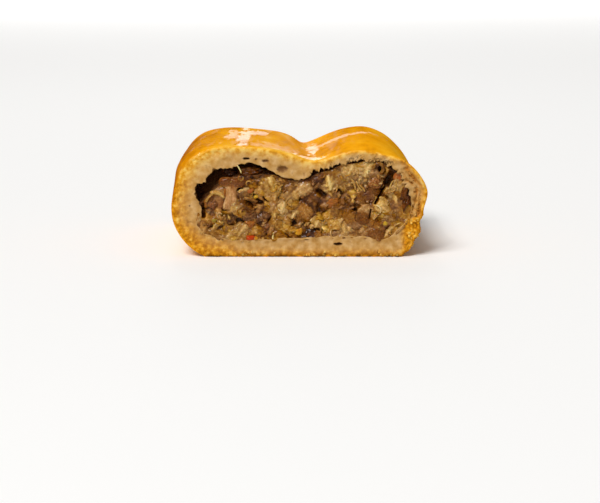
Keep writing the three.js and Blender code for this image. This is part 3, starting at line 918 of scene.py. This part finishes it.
# The innermost ring of each face lies folded on the line, so its lower half uses the upper half's points
one_ring = np.arange(core_steps)
folded = np.minimum(one_ring, -one_ring % core_steps)
kept = np.arange(len(core_points))
kept[:core_steps] = folded
kept[-core_steps:] = len(core_points) - core_steps + folded
used, core_faces = np.unique(kept[loft_faces(len(core_rings), core_steps, False)], return_inverse=True)
core_faces = core_faces.reshape(-1, 4)
core_points = core_points[used]
body_size = len(body_rings) * core_steps
core_looks = []
for front_values, back_values, inside in zip(front_look, back_look, hidden_look):
    turned_round = back_values.reshape(face_steps, core_steps)[::-1].ravel()
    core_looks.append(np.concatenate([front_values, np.full(body_size, inside), turned_round])[used])
core_brown, core_meaty, core_fibres = core_looks
# The crevices are painted dark brown: painted shade in the cracks between the pieces.
core_sunk = ease(crevice_depth(core_points), 0.2, 1.5)
core_brown = np.maximum(core_brown, 0.8 * core_sunk)
filling_core = mesh_piece(
    "filling_mash",
    core_points,
    core_faces,
    stew,
    brown=core_brown,
    meaty=core_meaty,
    shade=np.full(len(core_points), 0.5),
    fibres=core_fibres,
)
add_filling(filling_core)

# Mushrooms: halved and chopped, stewed soft. A half shows a brown, wrinkled cap over a pale stem, and the
# chunks are rounded brown lumps, some of them deep under the roof, their darker brown there partly
# painted shade.
random = np.random.default_rng(7)
# The outline of a half, across and up from its neck
half_rows = [
    (-3.4, -12),
    (-2.8, -7),
    (-2.8, -2.4),
    (-4.4, -2),
    (-6.2, -0.4),
    (-5.4, 1.6),
    (-2.4, 2.4),
    (1.4, 2.1),
    (4.8, 2.5),
    (6.3, 0.6),
    (5, -1.6),
    (2.4, -2.2),
    (2.6, -7),
    (2.4, -12),
]
half_cap_edge = -1.6  # up from the neck: above this it is cap, below it is stem
half_size = 12.5
# Each mushroom: across, up, out, turn, size, a half's thickness or a chunk's width against the size, how
# brown, and how brown the stem of a half is
mushrooms = [
    (-29.4, 32.6, -1.4, -4, 12.5, 0.36, 0.54, 0.14),
    (-21.5, 36.8, -4, 5, 9, 0.5, 0.7),
    (-30.5, 36.6, -5, -20, 7, 0.5, 0.8),
    (-13.6, 36.8, -5, 20, 6, 0.5, 0.8),
    (46, 26, -2.2, 86, 12, 0.36, 0.75),
    (-37.6, 23.6, -1.5, 10, 6, 0.8, 0.5),
    (32.4, 32.4, -1.5, 40, 5, 0.85, 0.4),
]


def capped_loft(rings):
    """Points and faces of a closed body that joins each ring to the next, with a fan over both ends."""
    size = len(rings[0])
    last = (len(rings) - 1) * size
    points = np.vstack([*rings, rings[0].mean(axis=0), rings[-1].mean(axis=0)])
    faces = loft_faces(len(rings), size, False).tolist()
    for k in range(size):
        after = (k + 1) % size
        faces.append([len(points) - 2, after, k])
        faces.append([len(points) - 1, last + k, last + after])
    triangles = [face[:3] for face in faces] + [[face[0], *face[2:]] for face in faces if len(face) > 3]
    first, second, third = points[np.array(triangles).T]
    volume = (np.cross(first, second) * third).sum()
    if volume < 0:
        faces = [face[::-1] for face in faces]
    return points, faces


def plate(outline, thick, shares):
    """Rings of a flat body with a rounded edge, from the middle of its top to the middle of its underside."""
    rings = []
    for share, side in [(share, 1) for share in shares] + [(share, -1) for share in shares[-2::-1]]:
        height = side * thick / 2 * math.sqrt(1 - share**4)
        rings.append(np.column_stack([outline * share, np.full(len(outline), height)]))
    return rings


def half_mushroom(size, flat, cap_brown, stem_brown):
    """A half lying on XY with its neck at the origin, and how brown it is."""
    outline = smooth_loop(half_rows, 44) * size / half_size
    points, faces = capped_loft(plate(outline, flat * size, (0.25, 0.5, 0.72, 0.9, 1)))
    points[:, 2] += 0.4 * bumps(points, 2.2, size) + 0.3 * bumps(points, 1, size)
    cap = ease(points[:, 1], half_cap_edge - 0.5, half_cap_edge + 0.5)
    points[:, 2] += cap * (0.7 * bumps(points * [1, 2, 1], 1.8, 3) + 0.4 * bumps(points, 0.9, 5))
    return points, faces, stem_brown + (cap_brown - stem_brown) * cap


def lump(size, flat, around=24, up=14, rough=0.2):
    """A soft uneven lump lying on XY. Flat is its width against its length."""
    rings = []
    turn = np.linspace(0, 2 * math.pi, around, endpoint=False)
    for tilt in np.linspace(0, math.pi, up + 2)[1:-1]:
        ring = np.column_stack([np.cos(turn), np.sin(turn), np.zeros(around)]) * math.sin(tilt)
        ring[:, 2] = math.cos(tilt)
        rings.append(ring)
    points, faces = capped_loft(rings)
    seed = random.uniform(0, 50)
    points *= 1 + 0.5 * bumps(points, 0.8, seed)[:, None] + rough * bumps(points, 0.35, seed)[:, None]
    return points * np.array([1, flat, 0.5]) * size / 2, faces


def set_in_cut(points, across, up, out, turn, behind):
    """A piece that lies on XY, turned and stood up to face out of a cut. Out is how far out of the cut."""
    spin = np.array(Euler((0, 0, math.radians(turn))).to_matrix())
    x, y, z = (points @ spin.T).T
    if behind:
        return np.column_stack([across - x, back + out + z, up + y])
    return np.column_stack([across + x, front - out - z, up + y])


def at_both_cuts(rows, stray):
    """Each row for the front cut, then each for the back cut, where pieces lie up to this far astray. Gives
    whether it is the back cut, the place across, the place up and the rest of the row."""
    for behind in (False, True):
        shift = random.uniform(-stray, stray, (len(rows), 2)) * behind
        for (across, up, *rest), (aside, higher) in zip(rows, shift):
            yield behind, across + aside, up + 0.4 * higher, *rest


bore_polar = np.arctan2(bore_section[:, 1] - section_middle[1], bore_section[:, 0])
bore_radius = np.linalg.norm(bore_section - section_middle, axis=1)
bore_order = np.argsort(bore_polar)
proud = 1.3  # most that a piece of filling stands out of a cut


def tucked(points):
    """Points of filling held inside the wrap, and no further out of a cut than a piece may stand."""
    flat = points[:, [0, 2]] - section_middle
    reach = np.linalg.norm(flat, axis=1)
    polar = np.arctan2(flat[:, 1], flat[:, 0])
    limit = np.interp(polar, bore_polar[bore_order], bore_radius[bore_order], period=2 * math.pi) + 0.3
    flat *= np.minimum(1, limit / np.maximum(reach, 1e-6))[:, None]
    held = np.clip(points[:, 1], front - proud, back + proud)
    return np.column_stack([flat[:, 0], held, flat[:, 1] + section_middle[1]])


def joined(name, bodies, material):
    """One mesh object from bodies given as points, faces, how brown, how meaty and which shade."""
    points, faces, looks = [], [], []
    start = 0
    for body_points, body_faces, brown, meaty, shade in bodies:
        points.append(tucked(body_points))
        faces += [[start + corner for corner in face] for face in body_faces]
        mottled = brown + 0.16 * bumps(body_points, 2.2) + 0.12 * bumps(body_points, 0.9)
        looks.append(np.stack(np.broadcast_arrays(mottled, meaty, shade, 7 * shade % 1)))
        start += len(body_points)
    look = dict(zip(("brown", "meaty", "shade", "fibres"), np.hstack(looks)))
    return mesh_piece(name, np.vstack(points), faces, material, **look)


mushroom_bodies = []
for behind, x, z, out, turn, size, flat, brown, *stem in at_both_cuts(mushrooms, stray=5):
    if stem:
        points, faces, brown = half_mushroom(size, flat, brown, *stem)
        shade = 0.5
    else:
        points, faces = lump(size, flat, around=40, up=24, rough=0.5)
        shade = random.uniform(0.3, 0.7)
    mushroom_bodies.append((set_in_cut(points, x, z, out, turn, behind), faces, brown, 1, shade))
add_filling(joined("filling_mushrooms", mushroom_bodies, stew))

# Cabbage: shreds of leaf, stewed limp and bent, pale yellow to tan. The large ones lie where the cut shows
# them, some rolled into a curl.
# Strips: across, up, out, turn, length, width, depth, bend in degrees, brown
strips = [
    (-26.2, 38.8, 0.2, -62, 4, 0.6, 0.5, 20, -0.3),
    (-35.6, 28.2, -0.4, -20, 7, 1.8, 3, 80, 0.2),
    (-39.6, 26.4, -0.6, 50, 5, 1.2, 3, 50, 0.36),
    (-30, 33.2, 0.1, 30, 5, 0.7, 1, 250, 0.36),
    (-26, 33.8, 0, 160, 5, 0.7, 1, 280, 0.38),
    (-22.6, 33.4, -0.4, 20, 5, 0.7, 1, 260, 0.4),
    (-25.8, 29.4, -0.1, 30, 2.4, 1, 1, 160, 0.14),
    (-21.4, 25.4, -0.8, -14, 6, 1.6, 1.4, 30, 0.54),
    (-18.6, 22.2, -0.8, 20, 5, 0.8, 1, 60, 0.4),
    (35, 40.8, -0.6, -30, 10, 1.6, 4.5, 265, 0.54),
    (23.6, 32, -0.7, -70, 5, 0.9, 1, 40, 0.32),
    (25.4, 31, -0.7, -60, 5, 0.8, 1, -40, 0.34),
    (27.2, 30.4, -0.7, -50, 4, 0.8, 1, 40, 0.34),
    (36.6, 25.6, -0.3, -32, 4.5, 1.1, 0.9, 60, 0.26),
    (-11.8, 9.4, 0.1, 82, 3, 0.7, 0.7, 20, -0.1),
    (-10.8, 32, -0.7, 40, 5, 0.9, 1, 200, 0.3),
    (-9.4, 30.2, -0.7, 60, 5, 0.9, 1, 90, 0.32),
    (39.4, 31.6, -0.8, 70, 5, 0.7, 0.9, 50, 0.3),
    (42, 31.2, -0.8, 105, 5, 0.7, 0.9, 40, 0.3),
    (39.4, 28.4, -0.7, 20, 5, 0.8, 0.9, -60, 0.34),
]


def strip(length, wide, deep, bend, around=6, steps=8):
    """A shred lying on XY, bent into an arc and thinner at its ends."""
    radius = length / math.radians(bend)
    turn = np.linspace(0, 2 * math.pi, around, endpoint=False)
    rings = []
    for share in np.linspace(-0.5, 0.5, steps):
        angle = math.radians(bend) * share
        plump = 0.55 + 0.45 * math.sqrt(1 - (2 * share) ** 4)
        reach = radius + np.cos(turn) * wide / 2 * plump
        height = np.sin(turn) * deep / 2 * plump
        rings.append(np.column_stack([reach * math.sin(angle), reach * math.cos(angle) - radius, height]))
    return capped_loft(rings)


cabbage_bodies = []
for behind, x, z, out, turn, *sizes, brown in at_both_cuts(strips, stray=5):
    points, faces = strip(*sizes, around=8, steps=14)
    cabbage_bodies.append((set_in_cut(points, x, z, out, turn, behind), faces, brown, 0, 0.5))
add_filling(joined("filling_cabbage", cabbage_bodies, stew))

# Carrot and yellow pepper: small dice, chopped by hand and stewed soft, most of them dull and a few bright
# against the brown.
# Dice: across, up, out, turn, size, width against size, 0 for red orange up to 1 for yellow, and how dull;
# the dull brown of the dice sunk deep under the right roof is partly painted shade
dice = [
    (-21.8, 8.2, -0.5, 10, 4, 0.65, 0, 0),
    (-19.4, 7.8, -0.5, 70, 3, 0.7, 0.4, 0.1),
    (-0.4, 11.4, -0.2, 30, 3.4, 0.8, 0.5, 0),
    (-19.2, 26.6, 0.2, 20, 1.7, 0.8, 0.75, 0),
    (-21.4, 14.6, -1.5, 0, 5, 0.8, 0.32, 0.7),
    (-37.4, 16.2, -0.3, 0, 2, 0.8, 0.9, 0.2),
    (-21.6, 28.8, -0.9, 20, 3, 0.6, 0.25, 0.6),
    (42.8, 35.2, -2.2, 60, 5, 0.8, 0.12, 0.75),
    (48.2, 19.6, -1.4, 60, 3, 0.8, 0.2, 0.4),
    (37.2, 14.8, 0.2, 0, 2, 0.8, 0.85, 0),
    (13.8, 24, -1.5, 20, 7, 0.6, 0.36, 0.8),
    (-32.6, 28.5, -0.9, 82, 5, 0.2, 0.2, 0.7),
]
# Stewed carrot and pepper: red orange to yellow, or brown where it is dull, and as wet as the rest. The dull
# brown is partly painted shade on the dice deep under the roof.
dice_stops = [(0, "#B23800"), (0.25, "#984A06"), (0.5, "#B97A10"), (0.75, "#C0941A"), (1, "#98802C")]
dull_stops = [(0, "#A8642A"), (0.5, "#804A18"), (1, "#4A240A")]
diced = stewed("stewed_carrot", dice_stops, dull_stops)
dice_bodies = []
for behind, x, z, out, turn, size, flat, hue, dull in at_both_cuts(dice, stray=6):
    points, faces = lump(size, flat)
    dice_bodies.append((set_in_cut(points, x, z, out, turn, behind), faces, hue, dull, 0.5))
add_filling(joined("filling_carrot", dice_bodies, diced))

# The loose stew between them: scraps of leaf, shreds and fine bits, broken off in the pot and strewn over the
# core where it shows, each about as brown as the place it lies on.
fold_spacing = 3.2  # of the pleats in a scrap
fold_height = 1.2
scrap_thick = 0.8
socket_kinds = {
    "Spacing": "NodeSocketFloat",
    "Smallest": "NodeSocketFloat",
    "Largest": "NodeSocketFloat",
    "Lean": "NodeSocketFloat",
    "Seed": "NodeSocketInt",
    "Pieces": "NodeSocketCollection",
    "Material": "NodeSocketMaterial",
}


def leaf(size, flat, around=11):
    """A scrap of leaf lying on XY: a ragged wavy sheet."""
    turn = np.linspace(0, 2 * math.pi, around, endpoint=False)
    lean = random.uniform(0, 2 * math.pi, 5)
    radius = 1 + 0.16 * np.cos(2 * turn + lean[0]) + 0.16 * np.cos(3 * turn + lean[1])
    radius += 0.1 * np.cos(5 * turn + lean[2]) + random.uniform(-0.1, 0.1, around)
    outline = np.column_stack([np.cos(turn), flat * np.sin(turn)]) * radius[:, None] * size / 2
    points, faces = capped_loft(plate(outline, scrap_thick, (0.5, 0.88, 1)))
    y = points[:, 1] / size
    drift = points[:, 0] * math.cos(lean[3]) + points[:, 1] * math.sin(lean[3]) + bumps(points, 3, lean[4])
    pleat = np.sin(math.pi * drift / fold_spacing + 2.5 * y * y + lean[4]) ** 2
    points[:, 2] += fold_height * (pleat - 0.5) + size * 0.03 * np.cos(9 * y + lean[4])
    return points, faces


def strew_tree(weight):
    """Geometry Nodes that strew pieces over a surface, thickest where the named weight is high."""
    tree = bpy.data.node_groups.new("strew_" + weight, "GeometryNodeTree")
    tree.interface.new_socket("Geometry", in_out="INPUT", socket_type="NodeSocketGeometry")
    for label, kind in socket_kinds.items():
        tree.interface.new_socket(label, in_out="INPUT", socket_type=kind)
    tree.interface.new_socket("Geometry", in_out="OUTPUT", socket_type="NodeSocketGeometry")
    given = add(tree, "NodeGroupInput").outputs
    share = add(tree, "GeometryNodeInputNamedAttribute", {"Name": weight}).outputs["Attribute"]
    points = add(
        tree,
        "GeometryNodeDistributePointsOnFaces",
        {
            "Mesh": given["Geometry"],
            "Distance Min": given["Spacing"],
            "Density Max": 4e6,
            "Density Factor": share,
            "Seed": given["Seed"],
        },
        distribute_method="POISSON",
    ).outputs
    down = add(tree, "ShaderNodeMath", {0: given["Lean"], 1: -1}, operation="MULTIPLY").outputs[0]
    least = add(tree, "ShaderNodeCombineXYZ", {"X": down, "Y": down, "Z": -math.pi}).outputs[0]
    most = add(
        tree, "ShaderNodeCombineXYZ", {"X": given["Lean"], "Y": given["Lean"], "Z": math.pi}
    ).outputs[0]
    lean = add(
        tree, "FunctionNodeRandomValue", {0: least, 1: most, "Seed": given["Seed"]}, data_type="FLOAT_VECTOR"
    ).outputs[0]
    turn = add(
        tree,
        "FunctionNodeRotateRotation",
        {"Rotation": points["Rotation"], "Rotate By": lean},
        rotation_space="LOCAL",
    ).outputs[0]
    scale = add(
        tree, "FunctionNodeRandomValue", {2: given["Smallest"], 3: given["Largest"], "Seed": given["Seed"]}
    ).outputs[1]
    kinds = add(
        tree,
        "GeometryNodeCollectionInfo",
        {"Collection": given["Pieces"], "Separate Children": True, "Reset Children": True},
    ).outputs[0]
    where = {"Points": points["Points"], "Rotation": turn, "Scale": scale}
    placed = add(
        tree, "GeometryNodeInstanceOnPoints", {**where, "Instance": kinds, "Pick Instance": True}
    ).outputs[0]
    shade = add(tree, "FunctionNodeRandomValue", {2: 0, 3: 1, "Seed": 5}).outputs[1]
    for label in ("shade", "fibres"):
        placed = add(
            tree,
            "GeometryNodeStoreNamedAttribute",
            {"Geometry": placed, "Name": label, "Value": shade},
            domain="INSTANCE",
        ).outputs[0]
    real = add(tree, "GeometryNodeRealizeInstances", {"Geometry": placed}).outputs[0]
    dressed = add(
        tree, "GeometryNodeSetMaterial", {"Geometry": real, "Material": given["Material"]}
    ).outputs[0]
    add(tree, "NodeGroupOutput", {0: dressed})
    return tree


def strew(name, ground, weight, bodies, material, spacing, smallest, largest, lean, seed):
    """A plain mesh object of bodies strewn over the ground, a spacing apart at least, each between the
    smallest and the largest scale and leaning at random."""
    pieces = bpy.data.collections.new(name + "_kinds")
    for k, (points, faces) in enumerate(bodies):
        kind = mesh_piece(f"{name}_kind_{k}", points, faces, material)
        bpy.context.scene.collection.objects.unlink(kind)
        pieces.objects.link(kind)
    strewn = bpy.data.objects.new(name, ground.data)
    bpy.context.scene.collection.objects.link(strewn)
    modifier = strewn.modifiers.new("strew", "NODES")
    modifier.node_group = strew_tree(weight)
    given = (spacing * MM, smallest, largest, lean, seed, pieces, material)
    values = dict(zip(socket_kinds, given))
    for socket in modifier.node_group.interface.items_tree:
        if socket.in_out == "INPUT" and socket.name in values:
            modifier[socket.identifier] = values[socket.name]
    depsgraph = bpy.context.evaluated_depsgraph_get()
    mesh = bpy.data.meshes.new_from_object(
        strewn.evaluated_get(depsgraph), preserve_all_data_layers=True, depsgraph=depsgraph
    )
    strewn.modifiers.remove(modifier)
    strewn.data = mesh
    for kind in list(pieces.objects):
        bpy.data.objects.remove(kind)
    bpy.data.collections.remove(pieces)
    return strewn


def move_points(piece, move):
    """Moves a piece's points to where a function of them, in millimetres, puts them."""
    flat = np.empty(3 * len(piece.data.vertices))
    piece.data.vertices.foreach_get("co", flat)
    moved = move(flat.reshape(-1, 3) / MM) * MM
    piece.data.vertices.foreach_set("co", moved.ravel())
    piece.data.update()


def raised(body, height):
    """A body lifted off the ground that it is strewn on."""
    points, faces = body
    return points + [0, 0, height], faces


taken = np.zeros(len(core_points))
for x, z, out, turn, size, *rest in mushrooms + dice:
    away = np.hypot(core_points[:, 0] - x, core_points[:, 2] - z)
    taken = np.maximum(taken, ease(away, 0.8 * size, 0.6 * size) * (core_points[:, 1] < 0))
core_behind = np.minimum(core_points[:, 1] - front, back - core_points[:, 1])
core_open = ease(core_behind, 9, 4) * (1 - core_sunk) * (1 - taken)
core_open *= ease(distance_to(core_points, upright(bore_section[::4], 0)), 0.8, 2.5)
pale_share = core_open * (1 - core_meaty) * (1.05 - core_brown)
mark(filling_core.data, pale_share=pale_share, any_share=core_open)
scrap_kinds = [raised(leaf(size=5, flat=0.65), 0.3) for k in range(8)]
bends = (40, 90, -60, 140, 200, -110)
shred_kinds = [strip(length=6, wide=0.8, deep=1.6, bend=bend) for bend in bends]
bit_kinds = [raised(lump(size=1.1, flat=0.8, around=6, up=3), 0.3) for k in range(5)]
# What is strewn: name, where it lies, kinds, spacing, smallest and largest scale, lean and seed
strewn_sets = [
    ("filling_scraps", "pale_share", scrap_kinds, 8, 0.4, 0.8, 0.25, 5),
    ("filling_shreds", "pale_share", shred_kinds, 3.6, 0.3, 0.9, 0.35, 8),
    ("filling_bits", "any_share", bit_kinds, 3, 0.3, 0.8, 0.5, 13),
]
for name, weight, kinds, *sizes in strewn_sets:
    piece = strew(name, filling_core, weight, kinds, stew, *sizes)
    move_points(piece, tucked)
    add_filling(piece)

# Dough crumbs: bits of crust that the knife broke off, of the same baked dough. They cling to the torn flank,
# in the seam and along the base, and none lies lower than the base.
crumb_kinds = [raised(lump(size=1.5, flat=0.75, around=7, up=4, rough=0.8), 0.1) for k in range(8)]
crumb_sizes = {"spacing": 1.1, "smallest": 0.3, "largest": 1.1, "lean": 1.2, "seed": 21}
crumbs = strew("dough_crumbs", dough_wrap, "crumb_share", crumb_kinds, dough, **crumb_sizes)
move_points(crumbs, lambda points: np.maximum(points, [-math.inf, -math.inf, 0]))
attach(crumbs, "root")
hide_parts("dough_wrap")

# The stage: a plain pale floor in a white studio. A soft sun from the front left lights it, two broad lamps
# far behind shine in the glaze of the top, and three small ones glint in the juice and on the skin.
floor_material = bpy.data.materials.new("pale_floor")
floor_material.use_nodes = True
floor_shader = floor_material.node_tree.nodes["Principled BSDF"]
floor_shader.inputs["Base Color"].default_value = linear("#FBFAF8")
floor_shader.inputs["Roughness"].default_value = 0.9
floor_half = 6000
floor_corners = np.array([(-1, -1, 0), (1, -1, 0), (1, 1, 0), (-1, 1, 0)]) * floor_half
floor = mesh_piece("floor", floor_corners, [[0, 1, 2, 3]], floor_material)

world = bpy.data.worlds.new("studio")
world.use_nodes = True
background = world.node_tree.nodes["Background"]
background.inputs["Color"].default_value = linear("#FFFFFF")
background.inputs["Strength"].default_value = 0.22
bpy.context.scene.world = world
bpy.context.scene.view_settings.view_transform = "Standard"


def aimed(stand, aim):
    """The turn of a lamp at a stand that shines at an aim."""
    x, y, z = np.array(aim) - np.array(stand)
    return (math.atan2(math.hypot(x, y), -z), 0, math.atan2(-x, y))


sun = bpy.data.objects.new("key", bpy.data.lights.new("key", "SUN"))
sun.data.energy = 2.57
sun.data.angle = math.radians(28)
sun.rotation_euler = aimed((-0.42, -0.75, 1), (0, 0, 0))
bpy.context.scene.collection.objects.link(sun)
# Lamps: name, place and aim in metres, width, height and watts
lamps = [
    ("behind", (-0.29, 4.8, 1.2), (0, 0, 0.04), 1.44, 2.4, 23),
    ("low", (0.48, 4.8, 0.57), (0, 0, 0.04), 6.7, 0.58, 16),
    ("glint", (-0.25, -0.75, 0.6), (0, 0, 0.02), 0.035, 0.035, 0.9),
    ("over", (0, 0.05, 1.2), (0, 0, 0.04), 0.2, 0.2, 0.5),
    ("high", (-0.15, 0.8, 0.9), (0, 0, 0.04), 0.2, 0.2, 0.5),
]
for label, stand, aim, wide, high, watts in lamps:
    lamp = bpy.data.objects.new(label, bpy.data.lights.new(label, "AREA"))
    lamp.data.shape = "RECTANGLE"
    lamp.data.size = wide
    lamp.data.size_y = high
    lamp.data.energy = watts
    lamp.location = stand
    lamp.rotation_euler = aimed(stand, aim)
    bpy.context.scene.collection.objects.link(lamp)
